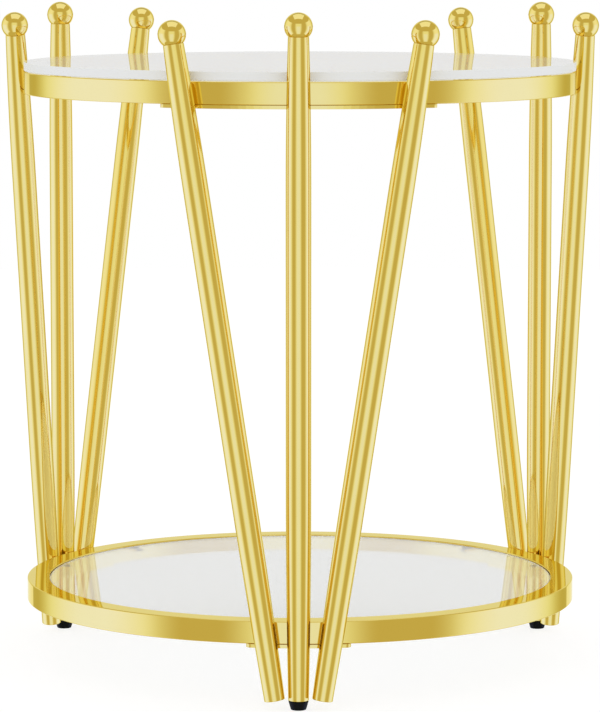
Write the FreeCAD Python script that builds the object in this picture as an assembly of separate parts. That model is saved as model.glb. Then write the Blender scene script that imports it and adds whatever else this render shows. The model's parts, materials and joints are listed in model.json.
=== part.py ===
import FreeCAD, Part
import math
import os

# Side table on nine ball-topped legs, with a glass top and a glass shelf.
# Millimetres. The origin is on the floor under the table's centre, +Z is up and the front is -Y.
# A piece of the front leg group is drawn where it stands and then turned round the Z axis.

# Leg groups
group_angles = {"front": 0.0, "rear_left": -120.0, "rear_right": 120.0}

# Legs: swaged tube, straight in the middle and drawn in along an arc at both ends
leg_length = 571.2
leg_middle_dia = 22.0
leg_top_dia = 18.0
leg_foot_dia = 18.0
leg_top_taper = 132.0
leg_foot_taper = 184.0
leg_wall = 1.5
leg_ring_gap = 0.25
side_leg_upper_angle = 22.5
side_leg_lower_angle = 6.4

# Ball finials
ball_dia = 24.5
spigot_length = 18.0
spigot_clearance = 0.1

# Rings: square tube rolled to a circle, the upper one set down from the ends of the upright legs
ring_outer_dia = 504.0
ring_tube = 20.0
ring_wall = 1.5
ring_corner = 1.0
ring_inner_corner = 0.5
lower_ring_height = 54.8
upper_ring_drop = 38.9

# Glass
top_glass_thick = 8.0
top_glass_inset = 0.1
shelf_glass_thick = 6.0
shelf_glass_recess = 1.0
shelf_glass_gap = 0.75
glass_arris = 0.5

# Arc plates that tie the legs of a group and carry the rings
plate_thick = 3.2
plate_depth = 18.0
plate_lip = 1.0
plate_end_radius = 5.0
upper_plate_overhang = 28.2
lower_plate_overhang = 19.9
weld_gap = 0.05

# Plate screws with flat heads, sunk flush with the plates, and the rivet nuts that take them
screw_dia = 5.0
screw_length = 12.0
screw_hole_dia = 5.5
screw_head_dia = 9.0
screw_head_rim = 0.4
screw_seat_clearance = 0.05
screw_socket_width = 3.0
screw_socket_depth = 1.5
screw_end_inset = 14.0
upper_screw_count = 4
lower_screw_count = 2
nut_dia = 7.0
nut_length = 9.0
nut_collar_dia = 10.0
nut_collar_thick = 2.0
nut_hole_clearance = 0.1
thread_clearance = 0.05

# Pads under the top glass
top_pad_dia = 10.0
top_pad_thick = 0.5
top_pad_count = 6

# Tabs inside the lower ring that carry the shelf glass, and their pads
tab_angle = 15.5
tab_width = 8.0
tab_reach = 10.0
tab_thick = 2.0
shelf_pad_dia = 6.5
shelf_pad_thick = 1.0

# Levelling feet under the middle legs
foot_height = 7.9
foot_top_dia = 17.8
foot_base_dia = 13.2
foot_edge = 0.6
foot_gap = 0.2
stem_dia = 8.0
stem_length = 28.0
foot_sole = 1.9
insert_length = 18.0
insert_clearance = 0.05

# End caps of the side legs
cap_thick = 3.0
cap_clearance = 0.05

# Places worked out from the sizes above
ring_outer_r = ring_outer_dia / 2
ring_inner_r = ring_outer_r - ring_tube
ring_middle_r = ring_outer_r - ring_tube / 2
leg_foot_height = foot_height + foot_gap
lower_ring_top = lower_ring_height + ring_tube
upper_ring_top = leg_foot_height + leg_length - upper_ring_drop
upper_ring_height = upper_ring_top - ring_tube
top_glass_height = upper_ring_top + top_pad_thick
shelf_glass_height = lower_ring_top - shelf_glass_recess - shelf_glass_thick
tab_height = shelf_glass_height - shelf_pad_thick - tab_thick
leg_foot_bore_r = leg_foot_dia / 2 - leg_wall
leg_top_bore_r = leg_top_dia / 2 - leg_wall
ball_seat_drop = math.sqrt((ball_dia / 2) ** 2 - (leg_top_dia / 2) ** 2)

ORIGIN = FreeCAD.Vector(0, 0, 0)
UP = FreeCAD.Vector(0, 0, 1)


def arc_drop(distance, length, drop):
    """How far an arc has come in after a distance, if it leaves a straight side and drops over a length."""
    curvature = 2 * drop / (length ** 2 + drop ** 2)
    return curvature * distance ** 2 / (1 + math.sqrt(1 - (curvature * distance) ** 2))


def leg_radius_at(along):
    """Outer radius of a leg at a distance from its foot end."""
    middle = leg_middle_dia / 2
    into_foot = leg_foot_taper - along
    into_top = along - (leg_length - leg_top_taper)
    if into_foot > 0:
        return middle - arc_drop(into_foot, leg_foot_taper, middle - leg_foot_dia / 2)
    if into_top > 0:
        return middle - arc_drop(into_top, leg_top_taper, middle - leg_top_dia / 2)
    return middle


# The upright legs just clear the rings where they are thickest beside them
ring_edges = (lower_ring_height, lower_ring_top, upper_ring_height, upper_ring_top)
leg_r_at_rings = max(leg_radius_at(height - leg_foot_height) for height in ring_edges)
leg_axis_r = ring_outer_r + leg_r_at_rings + leg_ring_gap


def on_circle(radius, angle, height):
    """Point at an angle from the front, seen from above, anticlockwise."""
    turn = math.radians(angle)
    return FreeCAD.Vector(radius * math.sin(turn), -radius * math.cos(turn), height)


def profile_point(radius, height):
    return FreeCAD.Vector(radius, 0, height)


def line(start, end):
    return Part.LineSegment(start, end).toShape()


def arc(start, middle, end):
    return Part.Arc(start, middle, end).toShape()


def revolved(edges):
    """Solid of revolution about Z of a closed outline drawn in the XZ plane."""
    return Part.Face(Part.Wire(edges)).revolve(ORIGIN, UP, 360)


def revolved_polygon(points):
    corners = [profile_point(radius, height) for radius, height in points]
    edges = [line(corners[i - 1], corners[i]) for i in range(len(corners))]
    return revolved(edges)


def turned(shape, angle):
    return shape.rotated(ORIGIN, UP, angle)


def leg_outline(grow):
    """Edges of a leg's side from foot to top, moved out by grow."""
    straight_start = leg_foot_taper
    straight_end = leg_length - leg_top_taper
    heights = [0.0, leg_foot_taper / 2, straight_start, straight_end,
               leg_length - leg_top_taper / 2, leg_length]
    points = [profile_point(leg_radius_at(height) + grow, height) for height in heights]
    return [arc(points[0], points[1], points[2]), line(points[2], points[3]),
            arc(points[3], points[4], points[5])]


def leg_envelope(grow):
    """Solid leg shape, moved out by grow, for cutting seats in other pieces."""
    top = profile_point(leg_top_dia / 2 + grow, leg_length)
    foot = profile_point(leg_foot_dia / 2 + grow, 0)
    axis_top = profile_point(0, leg_length)
    axis_foot = profile_point(0, 0)
    ends = [line(top, axis_top), line(axis_top, axis_foot), line(axis_foot, foot)]
    return revolved(leg_outline(grow) + ends)


def leg_tube():
    return leg_envelope(0).cut(leg_envelope(-leg_wall))


def leg_axis(side):
    """Foot end of a leg's axis and its direction, for the left (-1), middle (0) or right (1) leg."""
    lower = on_circle(leg_axis_r, side * side_leg_lower_angle, lower_ring_height + ring_tube / 2)
    upper = on_circle(leg_axis_r, side * side_leg_upper_angle, upper_ring_height + ring_tube / 2)
    direction = (upper - lower).normalize()
    foot = lower - direction * ((lower.z - leg_foot_height) / direction.z)
    return foot, direction


def on_leg(shape, side):
    """Move a piece drawn along Z from a leg's foot end to where that leg of the front group stands."""
    foot, direction = leg_axis(side)
    tilt = FreeCAD.Rotation(UP, direction)
    placed = shape.copy()
    placed.Placement = FreeCAD.Placement(foot, tilt).multiply(shape.Placement)
    return placed


def ball_finial():
    """Ball with a flat seat on the leg's end and a spigot inside the leg."""
    radius = ball_dia / 2
    centre = leg_length + ball_seat_drop
    spigot_r = leg_top_bore_r - spigot_clearance
    top = profile_point(0, centre + radius)
    side = profile_point(radius, centre)
    seat_rim = profile_point(leg_top_dia / 2, leg_length)
    spigot_top = profile_point(spigot_r, leg_length)
    spigot_end = profile_point(spigot_r, leg_length - spigot_length)
    axis_end = profile_point(0, leg_length - spigot_length)
    return revolved([arc(top, side, seat_rim), line(seat_rim, spigot_top), line(spigot_top, spigot_end),
                     line(spigot_end, axis_end), line(axis_end, top)])


def end_cap():
    return Part.makeCylinder(leg_foot_bore_r - cap_clearance, cap_thick)


def rounded_ring(height, shrink, corner):
    """Solid ring with a rounded square section, taken in by shrink on every side."""
    inner, outer = ring_inner_r + shrink, ring_outer_r - shrink
    bottom, top = height + shrink, height + ring_tube - shrink
    ring = revolved_polygon([(inner, bottom), (outer, bottom), (outer, top), (inner, top)])
    rims = [edge for edge in ring.Edges if isinstance(edge.Curve, Part.Circle)]
    return ring.makeFillet(corner, rims)


def plate_half_angle(height, overhang):
    """Half angle that a plate spans, so that it reaches past its side legs by the overhang."""
    foot, direction = leg_axis(1)
    at_plate = foot + direction * ((height - foot.z) / direction.z)
    side_leg = math.degrees(math.atan2(at_plate.x, -at_plate.y))
    return side_leg + math.degrees(overhang / ring_outer_r)


def screw_angles(half_angle, count):
    """Even angles of a plate's screws, the outermost set in from the plate's ends."""
    outermost = half_angle - math.degrees(screw_end_inset / ring_middle_r)
    step = 2 * outermost / (count - 1)
    return [-outermost + step * number for number in range(count)]


def screw_places(ring_height, overhang, count):
    """Angles of all the screws that hold one ring to its three plates."""
    half_angle = plate_half_angle(ring_height - plate_thick / 2, overhang)
    return [group + angle for group in group_angles.values() for angle in screw_angles(half_angle, count)]


def drilled(shape, hole, places, bottom):
    """Cut a hole, drawn on the Z axis from z = 0 up, at places round a ring."""
    for angle in places:
        shape = shape.cut(hole.translated(on_circle(ring_middle_r, angle, bottom)))
    return shape


def flat_head_shape(head_r, shank_r, length):
    """Flat-head screw on the Z axis, or its sunk hole: a rim, a 90 degree cone and a shank."""
    cone_end = screw_head_rim + head_r - shank_r
    return revolved_polygon([(0, 0), (head_r, 0), (head_r, screw_head_rim), (shank_r, cone_end),
                             (shank_r, length), (0, length)])


def tube_ring(height, places):
    """Hollow ring, open only at the holes for the rivet nuts in its underside."""
    hollow = rounded_ring(height, ring_wall, ring_inner_corner)
    ring = rounded_ring(height, 0, ring_corner).cut(hollow)
    nut_hole = Part.makeCylinder(nut_dia / 2 + nut_hole_clearance, 2 * ring_wall)
    return drilled(ring, nut_hole, places, height)


def arc_plate(ring_height, overhang, count):
    """Plate under a ring that joins the legs of the front group, notched for each leg."""
    bottom = ring_height - plate_thick
    half_angle = plate_half_angle(ring_height - plate_thick / 2, overhang)
    outer_r = ring_outer_r + plate_lip
    inner_r = outer_r - plate_depth
    start_out, end_out = on_circle(outer_r, -half_angle, bottom), on_circle(outer_r, half_angle, bottom)
    start_in, end_in = on_circle(inner_r, -half_angle, bottom), on_circle(inner_r, half_angle, bottom)
    outline = Part.Wire([arc(start_out, on_circle(outer_r, 0, bottom), end_out), line(end_out, end_in),
                         arc(end_in, on_circle(inner_r, 0, bottom), start_in), line(start_in, start_out)])
    plate = Part.Face(outline).extrude(UP * plate_thick)
    upright = [edge for edge in plate.Edges if abs(edge.BoundBox.ZLength - plate_thick) < plate_thick / 100]
    plate = plate.makeFillet(min(plate_end_radius, plate_depth / 3), upright)
    sunk_hole = flat_head_shape(screw_head_dia / 2 + screw_seat_clearance, screw_hole_dia / 2, plate_thick)
    plate = drilled(plate, sunk_hole, screw_angles(half_angle, count), bottom)
    for side in (-1, 0, 1):
        plate = plate.cut(on_leg(leg_envelope(weld_gap), side))
    return plate


def plate_screw():
    """Flat-head screw, head down, with the face of its head at z = 0."""
    screw = flat_head_shape(screw_head_dia / 2, screw_dia / 2, screw_length)
    corner_r = screw_socket_width / 2 / math.cos(math.radians(30))
    hexagon = [on_circle(corner_r, 60 * corner, 0) for corner in range(7)]
    socket = Part.Face(Part.makePolygon(hexagon)).extrude(UP * screw_socket_depth)
    return screw.cut(socket)


def rivet_nut():
    """Flush rivet nut with its foot at z = 0 and the collar that was pulled up inside the tube."""
    body_r, collar_r = nut_dia / 2, nut_collar_dia / 2
    bore_r = screw_dia / 2 + thread_clearance
    collar_foot = ring_wall + thread_clearance
    collar_top = collar_foot + nut_collar_thick
    return revolved_polygon([(bore_r, 0), (body_r, 0), (body_r, collar_foot), (collar_r, collar_foot),
                             (collar_r, collar_top), (body_r, collar_top), (body_r, nut_length),
                             (bore_r, nut_length)])


def around_ring(shape, height, places):
    """Copies of a small piece at places round a ring, as one group."""
    return Part.makeCompound([shape.translated(on_circle(ring_middle_r, angle, height)) for angle in places])


def glass_disc(radius, height, thick):
    """Round glass with both rims ground off."""
    top = height + thick
    return revolved_polygon([(0, height), (radius - glass_arris, height), (radius, height + glass_arris),
                             (radius, top - glass_arris), (radius - glass_arris, top), (0, top)])


def top_glass():
    return glass_disc(ring_outer_r - top_glass_inset, top_glass_height, top_glass_thick)


def shelf_glass():
    return glass_disc(ring_inner_r - shelf_glass_gap, shelf_glass_height, shelf_glass_thick)


def top_glass_pads():
    pad = Part.makeCylinder(top_pad_dia / 2, top_pad_thick)
    places = [360 / top_pad_count * (number + 0.5) for number in range(top_pad_count)]
    return around_ring(pad, upper_ring_top, places)


def tab_places():
    return [group + side * tab_angle for group in group_angles.values() for side in (-1, 1)]


def shelf_tabs():
    """Tabs whose outer ends follow the inside wall of the lower ring."""
    bar_corner = FreeCAD.Vector(-tab_width / 2, -ring_inner_r - tab_reach, tab_height)
    bar = Part.makeBox(tab_width, 2 * tab_reach, tab_thick, bar_corner)
    tab = bar.common(Part.makeCylinder(ring_inner_r - weld_gap, tab_thick, FreeCAD.Vector(0, 0, tab_height)))
    return Part.makeCompound([turned(tab, angle) for angle in tab_places()])


def shelf_pads():
    pad_r = ring_inner_r - tab_reach / 2
    pad = Part.makeCylinder(shelf_pad_dia / 2, shelf_pad_thick)
    places = [on_circle(pad_r, angle, tab_height + tab_thick) for angle in tab_places()]
    return Part.makeCompound([pad.translated(place) for place in places])


def foot_pad():
    """Tapered foot, with a socket in its top for the stem."""
    top_r, base_r = foot_top_dia / 2, foot_base_dia / 2
    socket_r = stem_dia / 2 + thread_clearance
    return revolved_polygon([(0, 0), (base_r - foot_edge, 0), (base_r, foot_edge),
                             (top_r, foot_height - foot_edge), (top_r - foot_edge, foot_height),
                             (socket_r, foot_height), (socket_r, foot_sole), (0, foot_sole)])


def foot_stem():
    return Part.makeCylinder(stem_dia / 2, stem_length, FreeCAD.Vector(0, 0, foot_sole))


def foot_insert():
    """Threaded insert pressed into the end of the leg, flush with it."""
    bore_r = stem_dia / 2 + thread_clearance
    body_r = leg_foot_bore_r - insert_clearance
    top = leg_foot_height + insert_length
    return revolved_polygon([(bore_r, leg_foot_height), (body_r, leg_foot_height),
                             (body_r, top), (bore_r, top)])


def under_leg(shape):
    """Move a piece drawn on the Z axis under the upright leg of the front group."""
    return shape.translated(on_circle(leg_axis_r, 0, 0))


def table_pieces():
    """All the pieces by name, each where it stands on the table."""
    upper_places = screw_places(upper_ring_height, upper_plate_overhang, upper_screw_count)
    lower_places = screw_places(lower_ring_height, lower_plate_overhang, lower_screw_count)
    pieces = {
        "upper_ring": tube_ring(upper_ring_height, upper_places),
        "lower_ring": tube_ring(lower_ring_height, lower_places),
        "top_glass": top_glass(),
        "shelf_glass": shelf_glass(),
        "top_glass_pads": top_glass_pads(),
        "shelf_tabs": shelf_tabs(),
        "shelf_pads": shelf_pads(),
        "upper_plate_screws": around_ring(plate_screw(), upper_ring_height - plate_thick, upper_places),
        "lower_plate_screws": around_ring(plate_screw(), lower_ring_height - plate_thick, lower_places),
        "upper_rivet_nuts": around_ring(rivet_nut(), upper_ring_height, upper_places),
        "lower_rivet_nuts": around_ring(rivet_nut(), lower_ring_height, lower_places),
    }
    front = {
        "upper_plate": arc_plate(upper_ring_height, upper_plate_overhang, upper_screw_count),
        "lower_plate": arc_plate(lower_ring_height, lower_plate_overhang, lower_screw_count),
        "foot_pad": under_leg(foot_pad()),
        "foot_stem": under_leg(foot_stem()),
        "foot_insert": under_leg(foot_insert()),
    }
    for side, name in ((-1, "left"), (0, "middle"), (1, "right")):
        front[f"{name}_leg"] = on_leg(leg_tube(), side)
        front[f"{name}_finial"] = on_leg(ball_finial(), side)
        if side != 0:
            front[f"{name}_leg_cap"] = on_leg(end_cap(), side)
    for group, angle in group_angles.items():
        for name, shape in front.items():
            pieces[f"{group}_{name}"] = turned(shape, angle)
    return pieces


def main():
    os.makedirs("parts", exist_ok=True)
    for name, shape in table_pieces().items():
        shape.exportStep(f"parts/{name}.step")
        print(name, "solids", len(shape.Solids), "valid", shape.isValid(), "volume", round(shape.Volume, 1))


main()
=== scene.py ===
import json
import logging
import math
from abc import ABC, abstractmethod
from dataclasses import dataclass
from enum import Enum
from typing import Any, Optional, Sequence

import bmesh
import bpy
from mathutils import Matrix, Vector

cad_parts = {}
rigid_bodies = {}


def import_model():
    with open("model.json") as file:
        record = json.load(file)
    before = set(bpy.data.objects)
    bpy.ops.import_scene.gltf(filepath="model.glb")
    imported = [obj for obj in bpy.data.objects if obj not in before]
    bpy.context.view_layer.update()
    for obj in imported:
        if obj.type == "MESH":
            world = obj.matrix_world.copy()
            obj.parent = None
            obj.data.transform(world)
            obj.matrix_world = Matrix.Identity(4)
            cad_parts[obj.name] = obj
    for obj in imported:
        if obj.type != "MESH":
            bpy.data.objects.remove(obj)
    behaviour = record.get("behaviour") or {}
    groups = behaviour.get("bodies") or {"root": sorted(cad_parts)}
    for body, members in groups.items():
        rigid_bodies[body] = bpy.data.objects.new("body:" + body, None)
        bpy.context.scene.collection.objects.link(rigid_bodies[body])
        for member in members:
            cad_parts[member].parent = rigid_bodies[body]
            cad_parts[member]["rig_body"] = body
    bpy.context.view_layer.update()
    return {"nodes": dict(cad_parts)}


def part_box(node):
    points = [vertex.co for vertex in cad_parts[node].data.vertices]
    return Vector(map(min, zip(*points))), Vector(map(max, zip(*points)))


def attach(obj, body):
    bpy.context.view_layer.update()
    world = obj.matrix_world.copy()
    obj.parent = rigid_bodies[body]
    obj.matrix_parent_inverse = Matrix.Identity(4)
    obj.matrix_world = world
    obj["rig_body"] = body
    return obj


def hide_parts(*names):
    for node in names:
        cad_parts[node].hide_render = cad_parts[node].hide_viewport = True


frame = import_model()

# Looks of a drum-shaped side table: gold tube legs with ball tops round two gold rings, with a glass top
# and a glass shelf. Metres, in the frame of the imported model: +Z is up and the front is -Y.

Colour = tuple[float, float, float, float]

MM = 0.001
UP = Vector((0, 0, 1))
TURN_STEPS = 96
RING_STEPS = 360
# Points nearer to each other than this are one point
MERGE_DISTANCE = MM / 1000
SHARP_ANGLE = math.radians(30)
GROUP_TURNS = {"front": 0.0, "rear_left": math.radians(-120), "rear_right": math.radians(120)}
LOG = logging.getLogger("side_table")


class Slot(Enum):
    """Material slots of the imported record."""

    GOLD = "polished_gold"
    GLASS = "clear_glass"
    BLACK = "black_plastic"
    ZINC = "zinc_steel"
    SILICONE = "clear_silicone"
    RUBBER = "dark_rubber"


class Side(Enum):
    """Place of a leg in its group of three, seen from outside the table."""

    LEFT = -1
    MIDDLE = 0
    RIGHT = 1


class Flank(Enum):
    """Part of the studio that a field of light is on, seen from the camera."""

    BOTH = "both"
    LEFT = "left"
    RIGHT = "right"


def linear(colour: str) -> Colour:
    """Turn an sRGB hex colour into linear RGBA.

    Args:
        colour: text such as "#F0D080".

    Returns:
        Red, green, blue and an alpha of 1.
    """
    shares = [int(colour[place:place + 2], 16) / 255 for place in (1, 3, 5)]
    red, green, blue = (s / 12.92 if s <= 0.04045 else ((s + 0.055) / 1.055) ** 2.4 for s in shares)
    return red, green, blue, 1.0


def add_node(tree: bpy.types.NodeTree, kind: str, settings: Optional[dict[str, Any]] = None,
             inputs: Optional[dict[Any, Any]] = None) -> bpy.types.Node:
    """Add a node, set its properties and fill its sockets.

    Args:
        tree: node tree that gets the node.
        kind: type name of the node.
        settings: properties of the node by name.
        inputs: values or other nodes' sockets, by the name or number of the input.

    Returns:
        The new node.
    """
    node = tree.nodes.new(kind)
    for name, value in (settings or {}).items():
        setattr(node, name, value)
    for key, value in (inputs or {}).items():
        if isinstance(value, bpy.types.NodeSocket):
            tree.links.new(value, node.inputs[key])
        else:
            node.inputs[key].default_value = value
    return node


@dataclass(frozen=True)
class Finish(ABC):
    """A surface finish that makes one procedural material."""

    name: str
    slot: Slot

    @abstractmethod
    def dress(self, tree: bpy.types.NodeTree, shader: bpy.types.Node) -> None:
        """Set the shader's sockets and add the nodes that vary it.

        Args:
            tree: the material's node tree.
            shader: its Principled BSDF.
        """

    def material(self) -> bpy.types.Material:
        """Make the material, or give the one made before.

        Returns:
            The material of this finish.
        """
        found = bpy.data.materials.get(self.name)
        if found:
            return found
        material = bpy.data.materials.new(self.name)
        material.use_nodes = True
        tree = material.node_tree
        self.dress(tree, tree.nodes["Principled BSDF"])
        return material


@dataclass(frozen=True)
class PolishedGold(Finish):
    """Gold-coloured vapour plating on buffed steel: a warm mirror, faintly clouded by the buffing wheel."""

    name: str = "polished_gold_plating"
    slot: Slot = Slot.GOLD
    colour: str = "#F6DC80"
    deep_colour: str = "#F3D778"
    edge_colour: str = "#F6F4C4"
    smoothest: float = 0.03
    roughest: float = 0.055
    cloud_mm: float = 45.0
    cloud_lowest: float = 0.3
    cloud_highest: float = 0.7
    buffing_mm: float = 1.5
    buffing_depth_mm: float = 0.002
    buffing_strength: float = 0.2

    def dress(self, tree: bpy.types.NodeTree, shader: bpy.types.Node) -> None:
        """Cloud the gloss and the colour softly, and add the buffing wheel's fine waves.

        Args:
            tree: the material's node tree.
            shader: its Principled BSDF.
        """
        place = add_node(tree, "ShaderNodeTexCoord").outputs["Object"]
        cloud = add_node(tree, "ShaderNodeTexNoise", None,
                         {"Vector": place, "Scale": 1 / (self.cloud_mm * MM), "Detail": 3.0})
        gloss = add_node(tree, "ShaderNodeMapRange", None,
                         {"Value": cloud.outputs["Fac"], "From Min": self.cloud_lowest,
                          "From Max": self.cloud_highest, "To Min": self.smoothest,
                          "To Max": self.roughest})
        tint = add_node(tree, "ShaderNodeMix", {"data_type": "RGBA"},
                        {"Factor": cloud.outputs["Fac"], "A": linear(self.colour),
                         "B": linear(self.deep_colour)})
        waves = add_node(tree, "ShaderNodeTexNoise", None,
                         {"Vector": place, "Scale": 1 / (self.buffing_mm * MM), "Detail": 1.0})
        bump = add_node(tree, "ShaderNodeBump", None,
                        {"Height": waves.outputs["Fac"], "Strength": self.buffing_strength,
                         "Distance": self.buffing_depth_mm * MM})
        tree.links.new(tint.outputs["Result"], shader.inputs["Base Color"])
        tree.links.new(gloss.outputs["Result"], shader.inputs["Roughness"])
        tree.links.new(bump.outputs["Normal"], shader.inputs["Normal"])
        shader.inputs["Metallic"].default_value = 1.0
        shader.inputs["Specular Tint"].default_value = linear(self.edge_colour)


@dataclass(frozen=True)
class ClearGlass(Finish):
    """Clear float glass: it mirrors at a low angle, where a film of dust also whitens what it mirrors."""

    name: str
    slot: Slot = Slot.GLASS
    dust: float = 0.0
    colour: str = "#FCFEFD"
    ior: float = 1.5
    smear_mm: float = 60.0
    smear_starts: float = 0.45
    smear_full: float = 0.75
    most_smear: float = 0.012

    def dress(self, tree: bpy.types.NodeTree, shader: bpy.types.Node) -> None:
        """Let light through and leave the faintest wiping marks in the gloss.

        Args:
            tree: the material's node tree.
            shader: its Principled BSDF.
        """
        place = add_node(tree, "ShaderNodeTexCoord").outputs["Object"]
        smear = add_node(tree, "ShaderNodeTexNoise", None,
                         {"Vector": place, "Scale": 1 / (self.smear_mm * MM), "Detail": 4.0})
        gloss = add_node(tree, "ShaderNodeMapRange", None,
                         {"Value": smear.outputs["Fac"], "From Min": self.smear_starts,
                          "From Max": self.smear_full, "To Min": 0.0, "To Max": self.most_smear})
        tree.links.new(gloss.outputs["Result"], shader.inputs["Roughness"])
        shader.inputs["Base Color"].default_value = linear(self.colour)
        shader.inputs["Transmission Weight"].default_value = 1.0
        shader.inputs["IOR"].default_value = self.ior
        shader.inputs["Sheen Weight"].default_value = self.dust


@dataclass(frozen=True)
class GroundEdge(Finish):
    """Finely ground edge of the glass: frosted, so that it scatters light and looks white."""

    name: str = "ground_glass_edge"
    slot: Slot = Slot.GLASS
    colour: str = "#FAFBFA"
    shine: float = 0.06
    smoothest: float = 0.25
    roughest: float = 0.4
    grit_mm: float = 0.4
    grit_depth_mm: float = 0.02
    grit_strength: float = 0.15

    def dress(self, tree: bpy.types.NodeTree, shader: bpy.types.Node) -> None:
        """Frost the surface with the marks of the grinding wheel, drawn coarse so that they show.

        Args:
            tree: the material's node tree.
            shader: its Principled BSDF.
        """
        place = add_node(tree, "ShaderNodeTexCoord").outputs["Object"]
        grit = add_node(tree, "ShaderNodeTexNoise", None,
                        {"Vector": place, "Scale": 1 / (self.grit_mm * MM), "Detail": 1.0})
        frost = add_node(tree, "ShaderNodeMapRange", None,
                         {"Value": grit.outputs["Fac"], "To Min": self.smoothest,
                          "To Max": self.roughest})
        bump = add_node(tree, "ShaderNodeBump", None,
                        {"Height": grit.outputs["Fac"], "Strength": self.grit_strength,
                         "Distance": self.grit_depth_mm * MM})
        tree.links.new(frost.outputs["Result"], shader.inputs["Roughness"])
        tree.links.new(bump.outputs["Normal"], shader.inputs["Normal"])
        shader.inputs["Base Color"].default_value = linear(self.colour)
        shader.inputs["Specular IOR Level"].default_value = self.shine


@dataclass(frozen=True)
class GrainedPolymer(Finish):
    """Moulded plastic or rubber: one colour through and through, with the grain of its mould."""

    colour: str
    worn_colour: str
    smoothest: float
    roughest: float
    shine: float
    grain_mm: float
    grain_depth_mm: float
    grain_strength: float = 0.5

    def dress(self, tree: bpy.types.NodeTree, shader: bpy.types.Node) -> None:
        """Let one grain pattern vary the colour, the gloss and the height.

        Args:
            tree: the material's node tree.
            shader: its Principled BSDF.
        """
        place = add_node(tree, "ShaderNodeTexCoord").outputs["Object"]
        grain = add_node(tree, "ShaderNodeTexNoise", None,
                         {"Vector": place, "Scale": 1 / (self.grain_mm * MM), "Detail": 2.0})
        tint = add_node(tree, "ShaderNodeMix", {"data_type": "RGBA"},
                        {"Factor": grain.outputs["Fac"], "A": linear(self.colour),
                         "B": linear(self.worn_colour)})
        gloss = add_node(tree, "ShaderNodeMapRange", None,
                         {"Value": grain.outputs["Fac"], "To Min": self.smoothest, "To Max": self.roughest})
        bump = add_node(tree, "ShaderNodeBump", None,
                        {"Height": grain.outputs["Fac"], "Strength": self.grain_strength,
                         "Distance": self.grain_depth_mm * MM})
        tree.links.new(tint.outputs["Result"], shader.inputs["Base Color"])
        tree.links.new(gloss.outputs["Result"], shader.inputs["Roughness"])
        tree.links.new(bump.outputs["Normal"], shader.inputs["Normal"])
        shader.inputs["Specular IOR Level"].default_value = self.shine


@dataclass(frozen=True)
class ZincPlate(Finish):
    """Bright zinc plating on turned steel: pale, slightly blue and cloudy."""

    name: str = "bright_zinc_plating"
    slot: Slot = Slot.ZINC
    colour: str = "#D9DBDA"
    dull_colour: str = "#C6C9CA"
    smoothest: float = 0.25
    roughest: float = 0.4
    spangle_mm: float = 3.0

    def dress(self, tree: bpy.types.NodeTree, shader: bpy.types.Node) -> None:
        """Break the colour and the gloss up into soft spangles.

        Args:
            tree: the material's node tree.
            shader: its Principled BSDF.
        """
        place = add_node(tree, "ShaderNodeTexCoord").outputs["Object"]
        spangle = add_node(tree, "ShaderNodeTexVoronoi", {"feature": "SMOOTH_F1"},
                           {"Vector": place, "Scale": 1 / (self.spangle_mm * MM)})
        tint = add_node(tree, "ShaderNodeMix", {"data_type": "RGBA"},
                        {"Factor": spangle.outputs["Distance"], "A": linear(self.colour),
                         "B": linear(self.dull_colour)})
        gloss = add_node(tree, "ShaderNodeMapRange", None,
                         {"Value": spangle.outputs["Distance"], "To Min": self.smoothest,
                          "To Max": self.roughest})
        tree.links.new(tint.outputs["Result"], shader.inputs["Base Color"])
        tree.links.new(gloss.outputs["Result"], shader.inputs["Roughness"])
        shader.inputs["Metallic"].default_value = 1.0


@dataclass(frozen=True)
class ClearSilicone(Finish):
    """Clear silicone dots that stick to the glass: soft and faintly milky, with the gold showing through."""

    name: str = "clear_silicone_rubber"
    slot: Slot = Slot.SILICONE
    colour: str = "#DDE0DE"
    milky_colour: str = "#ECEEED"
    milkiness_mm: float = 4.0
    smoothest: float = 0.15
    roughest: float = 0.4
    ior: float = 1.41
    cover: float = 0.06

    def dress(self, tree: bpy.types.NodeTree, shader: bpy.types.Node) -> None:
        """Cloud the colour and the gloss a little.

        Args:
            tree: the material's node tree.
            shader: its Principled BSDF.
        """
        place = add_node(tree, "ShaderNodeTexCoord").outputs["Object"]
        milk = add_node(tree, "ShaderNodeTexNoise", None,
                        {"Vector": place, "Scale": 1 / (self.milkiness_mm * MM)})
        tint = add_node(tree, "ShaderNodeMix", {"data_type": "RGBA"},
                        {"Factor": milk.outputs["Fac"], "A": linear(self.colour),
                         "B": linear(self.milky_colour)})
        gloss = add_node(tree, "ShaderNodeMapRange", None,
                         {"Value": milk.outputs["Fac"], "To Min": self.smoothest,
                          "To Max": self.roughest})
        tree.links.new(tint.outputs["Result"], shader.inputs["Base Color"])
        tree.links.new(gloss.outputs["Result"], shader.inputs["Roughness"])
        shader.inputs["IOR"].default_value = self.ior
        shader.inputs["Alpha"].default_value = self.cover


GOLD = PolishedGold()
GLASS_EDGE = GroundEdge()
ZINC = ZincPlate()
SILICONE = ClearSilicone()
# Satin nylon keeps a fine spark-eroded grain, drawn a little coarse so that it shows
BLACK_NYLON = GrainedPolymer("moulded_black_nylon", Slot.BLACK, colour="#0E0E0E", worn_colour="#141414",
                             smoothest=0.4, roughest=0.5, shine=0.08, grain_mm=0.6, grain_depth_mm=0.04)
# Rubber is duller, with a dusty bloom that greys it
DARK_RUBBER = GrainedPolymer("moulded_dark_rubber", Slot.RUBBER, colour="#57534D", worn_colour="#635F58",
                             smoothest=0.65, roughest=0.8, shine=0.4, grain_mm=0.9, grain_depth_mm=0.03)


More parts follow.
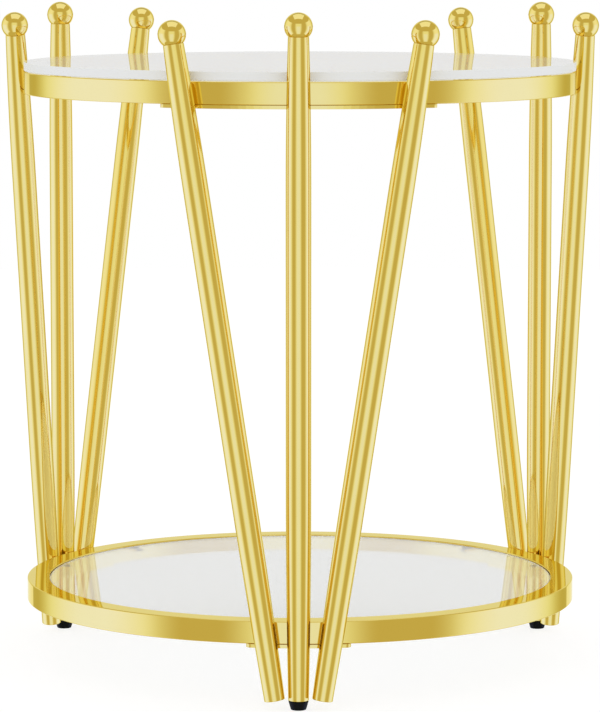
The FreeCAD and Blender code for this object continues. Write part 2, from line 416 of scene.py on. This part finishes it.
def outline(points: Sequence[tuple[float, float]], closed: bool) -> bmesh.types.BMesh:
    """Draw an outline in the plane of X and Z, for spinning round Z.

    Args:
        points: radius and height of each corner, in order.
        closed: whether the last corner joins the first.

    Returns:
        A bmesh of the outline's edges.
    """
    shape = bmesh.new()
    corners = [shape.verts.new((radius, 0, height)) for radius, height in points]
    for corner, following in zip(corners, corners[1:]):
        shape.edges.new((corner, following))
    if closed:
        shape.edges.new((corners[-1], corners[0]))
    shape.verts.ensure_lookup_table()
    return shape


def round_corners(shape: bmesh.types.BMesh, places: Sequence[int], radius: float, segments: int = 4) -> None:
    """Round some corners of an outline.

    Args:
        shape: the outline.
        places: numbers of the corners, in the order they were drawn.
        radius: how far from the corner the rounding starts.
        segments: number of edges in each rounding.
    """
    corners = [shape.verts[place] for place in places]
    bmesh.ops.bevel(shape, geom=corners, offset=radius, offset_type="OFFSET", affect="VERTICES",
                    segments=segments, profile=0.5, material=-1)


def turn(shape: bmesh.types.BMesh, steps: int) -> None:
    """Spin an outline once round Z and close its seam and poles.

    Args:
        shape: the outline, which becomes a closed surface.
        steps: number of faces round the axis.
    """
    bmesh.ops.spin(shape, geom=shape.verts[:] + shape.edges[:], cent=(0, 0, 0), axis=UP, dvec=(0, 0, 0),
                   angle=math.tau, steps=steps, use_merge=True)
    bmesh.ops.remove_doubles(shape, verts=shape.verts, dist=MERGE_DISTANCE)
    bmesh.ops.recalc_face_normals(shape, faces=shape.faces)


@dataclass
class Piece:
    """A finished piece of the table that stands for one CAD node."""

    name: str
    node: str
    finish: Finish

    def place(self, shape: bmesh.types.BMesh) -> bpy.types.Object:
        """Make the piece's object, dress it and let it ride on its node's body.

        Args:
            shape: the piece's faces, where they stand on the table.

        Returns:
            The new object.
        """
        mesh = bpy.data.meshes.new(self.name)
        for face in shape.faces:
            face.smooth = True
        shape.to_mesh(mesh)
        shape.free()
        mesh.set_sharp_from_angle(angle=SHARP_ANGLE)
        mesh.materials.append(self.finish.material())
        piece = bpy.data.objects.new(self.name, mesh)
        bpy.context.scene.collection.objects.link(piece)
        even = piece.modifiers.new("even_flats", "WEIGHTED_NORMAL")
        even.keep_sharp = True
        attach(piece, frame["nodes"][self.node]["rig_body"])
        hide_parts(self.node)
        LOG.info("%s stands for %s", self.name, self.node)
        return piece

    def place_copy(self) -> bpy.types.Object:
        """Make the piece from its CAD node's own shape, with its triangles merged and its curves smoothed.

        Returns:
            The new object.
        """
        shape = bmesh.new()
        shape.from_mesh(frame["nodes"][self.node].data)
        bmesh.ops.remove_doubles(shape, verts=shape.verts, dist=MERGE_DISTANCE)
        return self.place(shape)


def dress_node(node: str, finish: Finish) -> None:
    """Give a CAD node that stays in view its finish.

    Args:
        node: name of the node.
        finish: its finish.
    """
    materials = frame["nodes"][node].data.materials
    materials.clear()
    materials.append(finish.material())
    LOG.info("%s keeps its shape", node)


@dataclass
class Ring:
    """A ring of square tube, rolled to a circle."""

    level: str
    tube: float = 20 * MM
    corner: float = 1 * MM

    def build(self) -> None:
        """Spin the tube's rounded section to the size of the CAD ring."""
        node = f"{self.level}_ring"
        low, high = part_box(node)
        outer, inner = high.x, high.x - self.tube
        shape = outline([(inner, low.z), (outer, low.z), (outer, high.z), (inner, high.z)], closed=True)
        round_corners(shape, range(4), self.corner)
        turn(shape, RING_STEPS)
        Piece(f"{self.level}_ring_tube", node, GOLD).place(shape)


@dataclass
class GlassDisc:
    """A round glass with a ground edge."""

    use: str
    dust: float
    mirrored: bool
    arris: float = 0.5 * MM
    level_normal: float = 0.9

    def build(self) -> None:
        """Spin the disc to the size of the CAD glass, and finish its faces and its edge apart.

        A pane that isn't mirrored leaves the metal round it clear of its grainy image.
        """
        node = f"{self.use}_glass"
        low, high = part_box(node)
        rim = high.x
        shape = outline([(0, low.z), (rim - self.arris, low.z), (rim, low.z + self.arris),
                         (rim, high.z - self.arris), (rim - self.arris, high.z), (0, high.z)], closed=False)
        turn(shape, RING_STEPS)
        for face in shape.faces:
            face.material_index = 0 if abs(face.normal.z) > self.level_normal else 1
        glass = ClearGlass(f"clear_float_glass_{self.use}", dust=self.dust)
        pane = Piece(f"{self.use}_glass_pane", node, glass).place(shape)
        pane.data.materials.append(GLASS_EDGE.material())
        pane.visible_glossy = self.mirrored


@dataclass
class Leg:
    """A swaged tube with a ball on top: straight in the middle, drawn in along an arc at both ends."""

    group: str
    group_turn: float
    side: Side
    end_diameter: float = 18 * MM
    top_taper: float = 132 * MM
    foot_taper: float = 184 * MM
    wall: float = 1.5 * MM
    edge: float = 0.7 * MM
    ball_diameter: float = 24.5 * MM
    spigot_length: float = 18 * MM
    spigot_clearance: float = 0.1 * MM
    upper_angle: float = math.radians(22.5)
    lower_angle: float = math.radians(6.4)
    taper_points: int = 14
    ball_points: int = 40

    def __post_init__(self) -> None:
        """Read the size and the circle of the legs from the upright leg at the front."""
        low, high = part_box("front_middle_leg")
        self.length = high.z - low.z
        self.foot_height = low.z
        self.middle_diameter = high.x - low.x
        self.circle = -(low.y + high.y) / 2
        self.name = f"{self.group}_{self.side.name.lower()}"

    def stand(self) -> Matrix:
        """Work out where the leg stands.

        Returns:
            The matrix that takes a leg on the Z axis, foot at the origin, to its place.
        """
        points = []
        for ring, angle in (("lower_ring", self.lower_angle), ("upper_ring", self.upper_angle)):
            low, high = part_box(ring)
            around = self.side.value * angle
            points.append(Vector((self.circle * math.sin(around), -self.circle * math.cos(around),
                                  (low.z + high.z) / 2)))
        direction = (points[1] - points[0]).normalized()
        foot = points[0] - direction * ((points[0].z - self.foot_height) / direction.z)
        lean = UP.rotation_difference(direction).to_matrix().to_4x4()
        return Matrix.Rotation(self.group_turn, 4, "Z") @ Matrix.Translation(foot) @ lean

    def radius_at(self, along: float) -> float:
        """Outer radius of the tube.

        Args:
            along: distance from the foot end.

        Returns:
            The radius there.
        """
        middle = self.middle_diameter / 2
        drop = middle - self.end_diameter / 2
        into_foot = (self.foot_taper - along) / self.foot_taper
        into_top = (along - self.length + self.top_taper) / self.top_taper
        return middle - drop * max(into_foot, into_top, 0) ** 2

    def tube(self) -> bmesh.types.BMesh:
        """Spin the tube's wall, with its ends closely rounded.

        Returns:
            The tube on the Z axis.
        """
        tapers = [self.foot_taper * step / self.taper_points for step in range(self.taper_points + 1)]
        tapers += [self.length - self.top_taper * step / self.taper_points
                   for step in range(self.taper_points, -1, -1)]
        outside = [(self.radius_at(height), height) for height in tapers]
        inside = [(radius - self.wall, height) for radius, height in reversed(outside)]
        shape = outline(outside + inside, closed=True)
        round_corners(shape, [0, len(outside) - 1], self.edge, segments=3)
        turn(shape, TURN_STEPS)
        return shape

    def ball(self) -> bmesh.types.BMesh:
        """Spin the ball with the flat seat and the spigot that sit on and in the tube.

        Returns:
            The ball above the tube on the Z axis.
        """
        radius, seat = self.ball_diameter / 2, self.end_diameter / 2
        centre = self.length + math.sqrt(radius ** 2 - seat ** 2)
        bore = seat - self.wall - self.spigot_clearance
        sweep = math.pi - math.asin(seat / radius)
        angles = [sweep * step / self.ball_points for step in range(self.ball_points + 1)]
        points = [(radius * math.sin(angle), centre + radius * math.cos(angle)) for angle in angles]
        points += [(bore, self.length), (bore, self.length - self.spigot_length),
                   (0, self.length - self.spigot_length)]
        shape = outline(points, closed=False)
        turn(shape, TURN_STEPS)
        return shape

    def build(self) -> None:
        """Make the tube and the ball, and dress the cap in the foot of a leaning leg."""
        stand = self.stand()
        for part, node, shape in (("leg_tube", "leg", self.tube()), ("ball", "finial", self.ball())):
            bmesh.ops.transform(shape, matrix=stand, verts=shape.verts)
            Piece(f"{self.name}_{part}", f"{self.name}_{node}", GOLD).place(shape)
        if self.side is not Side.MIDDLE:
            dress_node(f"{self.name}_leg_cap", GOLD)


@dataclass
class LevellingFoot:
    """A tapered black foot on a threaded stem, under the upright leg of a group."""

    group: str
    top_diameter: float = 17.8 * MM
    base_diameter: float = 13.2 * MM
    edge: float = 0.6 * MM
    socket: float = 8.1 * MM
    sole: float = 1.9 * MM
    thread_pitch: float = 1.25 * MM
    thread_depth: float = 0.65 * MM
    thread_flat: float = 0.15 * MM
    thread_steps: int = 32
    spare_turns: int = 2
    cut_tolerance: float = MM / 10000

    def glide(self, low: Vector, high: Vector) -> bmesh.types.BMesh:
        """Spin the black foot with its socket for the stem.

        Args:
            low: lowest corner of the CAD foot's box.
            high: highest corner of that box.

        Returns:
            The foot on the Z axis.
        """
        top, base, socket = self.top_diameter / 2, self.base_diameter / 2, self.socket / 2
        shape = outline([(0, low.z), (base, low.z), (top, high.z), (socket, high.z),
                         (socket, low.z + self.sole), (0, low.z + self.sole)], closed=False)
        round_corners(shape, [1, 2], self.edge)
        turn(shape, TURN_STEPS)
        return shape

    def stem(self, low: Vector, high: Vector) -> bmesh.types.BMesh:
        """Wind the stem's thread past both ends of the stem, then cut the ends flat and close them.

        Args:
            low: lowest corner of the CAD stem's box.
            high: highest corner of that box.

        Returns:
            The stem on the Z axis.
        """
        crest = (high.x - low.x) / 2
        root = crest - self.thread_depth
        turns = math.ceil((high.z - low.z) / self.thread_pitch) + 2 * self.spare_turns
        start = low.z - self.spare_turns * self.thread_pitch
        middle = start + self.thread_pitch / 2
        half_flat = self.thread_flat / 2
        shape = outline([(root, start), (crest, middle - half_flat), (crest, middle + half_flat),
                         (root, start + self.thread_pitch)], closed=False)
        bmesh.ops.spin(shape, geom=shape.verts[:] + shape.edges[:], cent=(0, 0, 0), axis=UP,
                       dvec=UP * self.thread_pitch / self.thread_steps, angle=math.tau * turns,
                       steps=self.thread_steps * turns, use_merge=False)
        bmesh.ops.remove_doubles(shape, verts=shape.verts, dist=MERGE_DISTANCE)
        for height, outward in ((low.z, -UP), (high.z, UP)):
            bmesh.ops.bisect_plane(shape, geom=shape.verts[:] + shape.edges[:] + shape.faces[:],
                                   dist=self.cut_tolerance, plane_co=(0, 0, height), plane_no=outward,
                                   clear_outer=True)
        bmesh.ops.holes_fill(shape, edges=[edge for edge in shape.edges if edge.is_boundary])
        bmesh.ops.recalc_face_normals(shape, faces=shape.faces)
        return shape

    def build(self) -> None:
        """Set the foot and its stem under their leg and dress the insert that they screw into."""
        for part, node, finish, make in (("glide", "pad", BLACK_NYLON, self.glide),
                                         ("thread", "stem", ZINC, self.stem)):
            low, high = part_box(f"{self.group}_foot_{node}")
            middle = (low + high) / 2
            shape = make(low, high)
            bmesh.ops.translate(shape, vec=(middle.x, middle.y, 0), verts=shape.verts)
            Piece(f"{self.group}_foot_{part}", f"{self.group}_foot_{node}", finish).place(shape)
        dress_node(f"{self.group}_foot_insert", ZINC)


@dataclass
class LegGroup:
    """Three legs that two arc plates tie to the rings, on one levelling foot."""

    name: str
    turn: float

    def build(self) -> None:
        """Build the legs, the plates and the foot."""
        for side in Side:
            Leg(self.name, self.turn, side).build()
        for level in ("upper", "lower"):
            Piece(f"{self.name}_{level}_arc_plate", f"{self.name}_{level}_plate", GOLD).place_copy()
        LevellingFoot(self.name).build()


@dataclass
class Hardware:
    """The small pieces that hold the plates and the glass."""

    def build(self) -> None:
        """Dress the screws, the rivet nuts, the tabs and the pads."""
        for level in ("upper", "lower"):
            Piece(f"{level}_flat_screws", f"{level}_plate_screws", ZINC).place_copy()
            dress_node(f"{level}_rivet_nuts", ZINC)
        dress_node("shelf_tabs", GOLD)
        dress_node("shelf_pads", DARK_RUBBER)
        dress_node("top_glass_pads", SILICONE)


@dataclass
class PhotoCamera:
    """The camera, placed as the table's proportions in the photograph give it."""

    distance: float = 3.6346
    height: float = 0.6850
    azimuth: float = math.radians(0.279)
    pitch: float = math.radians(6.395)
    focal_px: float = 3969.6
    longer_side_px: int = 712
    sensor_mm: float = 36.0

    def build(self) -> None:
        """Create the camera and make it the scene's."""
        data = bpy.data.cameras.new("photo_camera")
        data.sensor_width = self.sensor_mm
        data.lens = self.focal_px * self.sensor_mm / self.longer_side_px
        camera = bpy.data.objects.new("photo_camera", data)
        camera.location = (self.distance * math.sin(self.azimuth), -self.distance * math.cos(self.azimuth),
                           self.height)
        camera.rotation_euler = (math.pi / 2 - self.pitch, 0, self.azimuth)
        bpy.context.scene.collection.objects.link(camera)
        bpy.context.scene.camera = camera


@dataclass(frozen=True)
class Bearings:
    """Bearings at which a field of light starts, is full, fades and ends.

    They are in degrees, counted from straight behind the camera, 180 being behind the table.
    """

    starts: float
    full: float
    fades: float
    ends: float


@dataclass(frozen=True)
class Heights:
    """Angles above the horizon between which a field of light lies, and the depth of its soft edges.

    They are in degrees.
    """

    lowest: float
    highest: float
    edge: float = 4.0


@dataclass(frozen=True)
class LightField:
    """A soft-edged field of light on the studio's walls."""

    flank: Flank
    colour: Colour
    bearings: Bearings
    heights: Heights

    def mask(self, tree: bpy.types.NodeTree, bearing: bpy.types.NodeSocket,
             height: bpy.types.NodeSocket) -> bpy.types.NodeSocket:
        """Work out how much of the field shows in a direction.

        Args:
            tree: node tree of the walls.
            bearing: the direction's bearing as the field's flank counts it.
            height: its angle above the horizon.

        Returns:
            A socket that is 1 inside the field and 0 outside it.
        """
        across, upward = self.bearings, self.heights
        edges = ((bearing, across.starts, across.full), (bearing, across.ends, across.fades),
                 (height, upward.lowest, upward.lowest + upward.edge),
                 (height, upward.highest, upward.highest - upward.edge))
        share = None
        for angle, outside, inside in edges:
            ramp = add_node(tree, "ShaderNodeMapRange", {"interpolation_type": "SMOOTHSTEP"},
                            {"Value": angle, "From Min": outside, "From Max": inside}).outputs["Result"]
            if share:
                ramp = add_node(tree, "ShaderNodeMath", {"operation": "MULTIPLY"},
                                {0: share, 1: ramp}).outputs["Value"]
            share = ramp
        return share


@dataclass
class Studio:
    """A plain pale floor, a white background, and soft fields of light on warm grey walls."""

    floor_radius: float = 4.0
    floor_level: float = 1.12
    # Dimmer white of the floor seen through glass: painted shade that stands for the shade under the table
    floor_level_painted_shade_through_glass: float = 0.76
    floor_white: float = 0.75
    floor_colour: Colour = (0.9, 0.9, 0.9, 1)
    ambient: float = 0.85
    wall_radius: float = 20.0
    wall_steps: int = 64
    wall_colour: Colour = (0.60, 0.54, 0.28, 1)
    fringe_colour: Colour = (0.88, 0.97, 0.97, 1)
    front_colour: Colour = (0.89, 1.03, 1.60, 1)
    side_colour: Colour = (0.95, 1.12, 2.15, 1)
    high_colour: Colour = (0.97, 1.05, 1.25, 1)
    white: Colour = (1, 1, 1, 1)
    card_colour: Colour = (0.87, 0.87, 0.87, 1)
    grey_colour: Colour = (0.50, 0.50, 0.50, 1)
    front_fringe: Bearings = Bearings(-2, -1, 14, 33.5)
    front_core: Bearings = Bearings(-2, -1, 7, 22)
    left_fringe: Bearings = Bearings(48, 70, 124, 145)
    left_core: Bearings = Bearings(58, 88, 103, 136)
    right_fringe: Bearings = Bearings(55, 77, 124, 145)
    right_core: Bearings = Bearings(64, 94, 103, 136)
    background: Bearings = Bearings(151, 153, 181, 182)
    cards: Bearings = Bearings(140, 155, 181, 182)
    front_heights: Heights = Heights(-60, 29)
    front_core_heights: Heights = Heights(-60, 11, 12)
    side_heights: Heights = Heights(-50, 33)
    side_core_heights: Heights = Heights(-50, 11, 12)
    background_heights: Heights = Heights(-60, 2)
    card_heights: Heights = Heights(0, 40)
    grey_heights: Heights = Heights(36, 64)
    overhead_width: float = 2.7
    overhead_depth: float = 3.0
    overhead_back: float = 0.2
    overhead_height: float = 3.2

    def light_fields(self) -> list[LightField]:
        """List the fields on the walls: in front, at the sides, the background, and two grey cards above it.

        Those in front and at the sides have a cool core in a warmer fringe, low down where the upright metal
        mirrors them, and are nearly neutral above the horizon, where the glass does.

        Returns:
            The fields, each of which covers those before it.
        """
        fields = [LightField(Flank.BOTH, self.fringe_colour, self.front_fringe, self.front_heights),
                  LightField(Flank.BOTH, self.front_colour, self.front_core, self.front_core_heights)]
        for flank, fringe, core in ((Flank.LEFT, self.left_fringe, self.left_core),
                                    (Flank.RIGHT, self.right_fringe, self.right_core)):
            fields += [LightField(flank, self.fringe_colour, fringe, self.side_heights),
                       LightField(flank, self.high_colour, core, self.side_heights),
                       LightField(flank, self.side_colour, core, self.side_core_heights)]
        fields += [LightField(Flank.BOTH, self.white, self.background, self.background_heights),
                   LightField(Flank.BOTH, self.card_colour, self.cards, self.card_heights),
                   LightField(Flank.BOTH, self.grey_colour, self.cards, self.grey_heights)]
        return fields

    def stage_piece(self, name: str, shape: bmesh.types.BMesh) -> tuple[bpy.types.Object, bpy.types.NodeTree]:
        """Make a piece of the studio, without a shadow and hidden from the camera until set otherwise.

        Args:
            name: name of the piece and its material.
            shape: its faces.

        Returns:
            The piece and the empty node tree of its material.
        """
        mesh = bpy.data.meshes.new(name)
        shape.to_mesh(mesh)
        shape.free()
        material = bpy.data.materials.new(name)
        material.use_nodes = True
        material.node_tree.nodes.clear()
        mesh.materials.append(material)
        piece = bpy.data.objects.new(name, mesh)
        bpy.context.scene.collection.objects.link(piece)
        piece.visible_camera = False
        piece.visible_transmission = False
        piece.visible_shadow = False
        return piece, material.node_tree

    def build_world(self) -> None:
        """Light matt surfaces evenly, and show white to the camera, to reflections and through glass."""
        world = bpy.data.worlds.new("white_studio")
        bpy.context.scene.world = world
        world.use_nodes = True
        tree = world.node_tree
        tree.nodes.clear()
        path = add_node(tree, "ShaderNodeLightPath")
        seen = add_node(tree, "ShaderNodeMath", {"operation": "MAXIMUM"},
                        {0: path.outputs["Is Camera Ray"], 1: path.outputs["Is Glossy Ray"]})
        seen = add_node(tree, "ShaderNodeMath", {"operation": "MAXIMUM"},
                        {0: seen.outputs["Value"], 1: path.outputs["Is Transmission Ray"]})
        light = add_node(tree, "ShaderNodeBackground", None,
                         {"Color": self.white, "Strength": self.ambient})
        white = add_node(tree, "ShaderNodeBackground", None, {"Color": self.white, "Strength": 1.0})
        mixed = add_node(tree, "ShaderNodeMixShader", None,
                         {0: seen.outputs["Value"], 1: light.outputs[0], 2: white.outputs[0]})
        add_node(tree, "ShaderNodeOutputWorld", None, {"Surface": mixed.outputs[0]})

    def build_floor(self) -> None:
        """Lay a pale disc that keeps the table's soft shadow and is white elsewhere, but dimmer through
        glass: painted shade.
        """
        shape = bmesh.new()
        bmesh.ops.create_circle(shape, cap_ends=True, segments=TURN_STEPS, radius=self.floor_radius)
        floor, tree = self.stage_piece("pale_floor", shape)
        path = add_node(tree, "ShaderNodeLightPath")
        seen = add_node(tree, "ShaderNodeMath", {"operation": "MAXIMUM"},
                        {0: path.outputs["Is Camera Ray"], 1: path.outputs["Is Transmission Ray"]})
        lift = add_node(tree, "ShaderNodeMath", {"operation": "MULTIPLY"},
                        {0: seen.outputs["Value"], 1: self.floor_white})
        # Through glass the floor's white is dimmer: painted shade under the table
        level = add_node(tree, "ShaderNodeMapRange", None,
                         {"Value": path.outputs["Is Camera Ray"], "To Min": self.floor_level_painted_shade_through_glass,
                          "To Max": self.floor_level})
        matt = add_node(tree, "ShaderNodeBsdfDiffuse", None, {"Color": self.floor_colour})
        white = add_node(tree, "ShaderNodeEmission", None,
                         {"Color": self.white, "Strength": level.outputs["Result"]})
        mixed = add_node(tree, "ShaderNodeMixShader", None,
                         {0: lift.outputs["Value"], 1: matt.outputs[0], 2: white.outputs[0]})
        add_node(tree, "ShaderNodeOutputMaterial", None, {"Surface": mixed.outputs[0]})
        floor.visible_camera = True
        floor.visible_transmission = True
        floor.visible_glossy = False

    def build_walls(self) -> None:
        """Close the room with walls that only reflections see, with the light fields on them."""
        shape = bmesh.new()
        bmesh.ops.create_uvsphere(shape, u_segments=self.wall_steps, v_segments=self.wall_steps // 2,
                                  radius=self.wall_radius)
        walls, tree = self.stage_piece("studio_walls", shape)
        place = add_node(tree, "ShaderNodeTexCoord").outputs["Object"]
        unit = add_node(tree, "ShaderNodeVectorMath", {"operation": "NORMALIZE"}, {0: place})
        part = add_node(tree, "ShaderNodeSeparateXYZ", None, {"Vector": unit.outputs["Vector"]})
        away = add_node(tree, "ShaderNodeMath", {"operation": "MULTIPLY"}, {0: part.outputs["Y"], 1: -1.0})
        around = add_node(tree, "ShaderNodeMath", {"operation": "ARCTAN2"},
                          {0: part.outputs["X"], 1: away.outputs["Value"]})
        rise = add_node(tree, "ShaderNodeMath", {"operation": "ARCSINE"}, {0: part.outputs["Z"]})
        bearing, height = (add_node(tree, "ShaderNodeMath", {"operation": "DEGREES"},
                                    {0: angle.outputs["Value"]}).outputs["Value"] for angle in (around, rise))
        leftward = add_node(tree, "ShaderNodeMath", {"operation": "MULTIPLY"}, {0: bearing, 1: -1.0})
        either = add_node(tree, "ShaderNodeMath", {"operation": "ABSOLUTE"}, {0: bearing})
        bearings = {Flank.RIGHT: bearing, Flank.LEFT: leftward.outputs["Value"],
                    Flank.BOTH: either.outputs["Value"]}
        colour: Any = self.wall_colour
        for field in self.light_fields():
            colour = add_node(tree, "ShaderNodeMix", {"data_type": "RGBA"},
                              {"Factor": field.mask(tree, bearings[field.flank], height), "A": colour,
                               "B": field.colour}).outputs["Result"]
        glow = add_node(tree, "ShaderNodeEmission", None, {"Color": colour, "Strength": 1.0})
        add_node(tree, "ShaderNodeOutputMaterial", None, {"Surface": glow.outputs["Emission"]})
        walls.visible_diffuse = False

    def build_overhead(self) -> None:
        """Hang the overhead soft box that shows on top of the balls."""
        shape = bmesh.new()
        bmesh.ops.create_grid(shape, x_segments=1, y_segments=1, size=0.5)
        bmesh.ops.scale(shape, vec=(self.overhead_width, self.overhead_depth, 1), verts=shape.verts)
        bmesh.ops.translate(shape, vec=(0, self.overhead_back, self.overhead_height), verts=shape.verts)
        softbox, tree = self.stage_piece("overhead_softbox", shape)
        glow = add_node(tree, "ShaderNodeEmission", None, {"Color": self.high_colour, "Strength": 1.0})
        add_node(tree, "ShaderNodeOutputMaterial", None, {"Surface": glow.outputs["Emission"]})
        softbox.visible_diffuse = False

    def build(self) -> None:
        """Set the view transform and build the whole studio."""
        bpy.context.scene.view_settings.view_transform = "Standard"
        self.build_world()
        self.build_floor()
        self.build_walls()
        self.build_overhead()


def main() -> None:
    """Build the table's looks and the studio round it."""
    logging.basicConfig(level=logging.INFO, format="%(name)s: %(message)s")
    for level in ("upper", "lower"):
        Ring(level).build()
    GlassDisc("top", dust=0.2, mirrored=False).build()
    GlassDisc("shelf", dust=0.55, mirrored=True).build()
    for name, group_turn in GROUP_TURNS.items():
        LegGroup(name, group_turn).build()
    Hardware().build()
    PhotoCamera().build()
    Studio().build()


if __name__ == "__main__":
    main()
